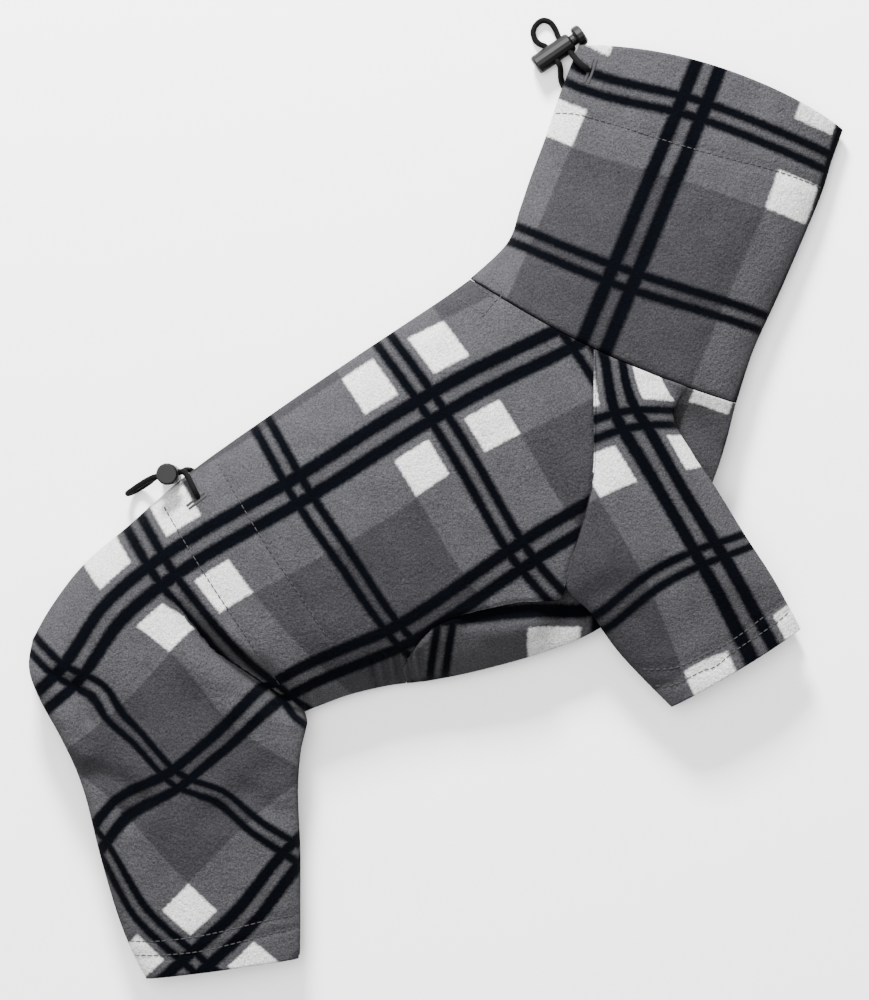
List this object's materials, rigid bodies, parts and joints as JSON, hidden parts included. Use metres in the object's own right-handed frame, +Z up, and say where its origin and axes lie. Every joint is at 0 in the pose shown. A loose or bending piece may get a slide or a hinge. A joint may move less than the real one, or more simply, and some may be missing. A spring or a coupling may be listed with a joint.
{
  "type": "dog suit",
  "caption": "Plaid fleece suit for a small dog, lying on its side, with a high drawcord neck, raglan front sleeves, hind legs and a waist drawcord.",
  "frame": {"origin": "middle of the suit's outline, on the surface that it lies on", "axes": "+Z up from the surface, towards the suit's right side; +Y towards the neck's opening; +X from the back towards the chest"},
  "size_m": [0.3658, 0.4319, 0.0307],
  "materials": {
    "plaid_fleece": "matt brushed pile",
    "plaid_fleece_chest": "matt brushed pile",
    "elastic_cord": "braided",
    "black_plastic": "satin moulded"
  },
  "bodies": {
    "root": {"body": "plaid_fleece", "chest_panel": "plaid_fleece_chest", "neck": "plaid_fleece", "sleeve_right": "plaid_fleece", "sleeve_left": "plaid_fleece", "neck_cord": "elastic_cord", "neck_lock_barrel": "black_plastic", "neck_lock_button": "black_plastic", "waist_cord": "elastic_cord", "waist_lock_barrel": "black_plastic", "waist_lock_button": "black_plastic"}
  },
  "joints": []
}
